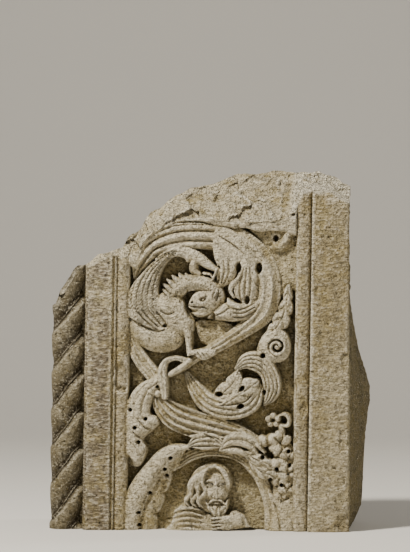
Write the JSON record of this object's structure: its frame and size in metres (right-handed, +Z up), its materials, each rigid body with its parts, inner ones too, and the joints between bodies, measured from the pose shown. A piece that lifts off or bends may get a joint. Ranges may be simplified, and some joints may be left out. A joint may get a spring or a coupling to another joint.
{
  "type": "carved door jamb fragment",
  "caption": "Broken block of a carved stone door jamb: rope column, fillets and rolls beside a sunk panel with a vine scroll, a winged beast and a half figure under an arch.",
  "frame": {"origin": "middle of the underside's bounding rectangle, where the block stands", "axes": "+Z up the mouldings, -Y out of the carved face, +X to the right of someone who looks at the carving"},
  "size_m": [0.6464, 0.2156, 0.722],
  "materials": {
    "limestone": "carved and weathered, matt, with warm patina in the recesses"
  },
  "bodies": {
    "root": {"carved_jamb_fragment": "limestone"}
  },
  "joints": []
}
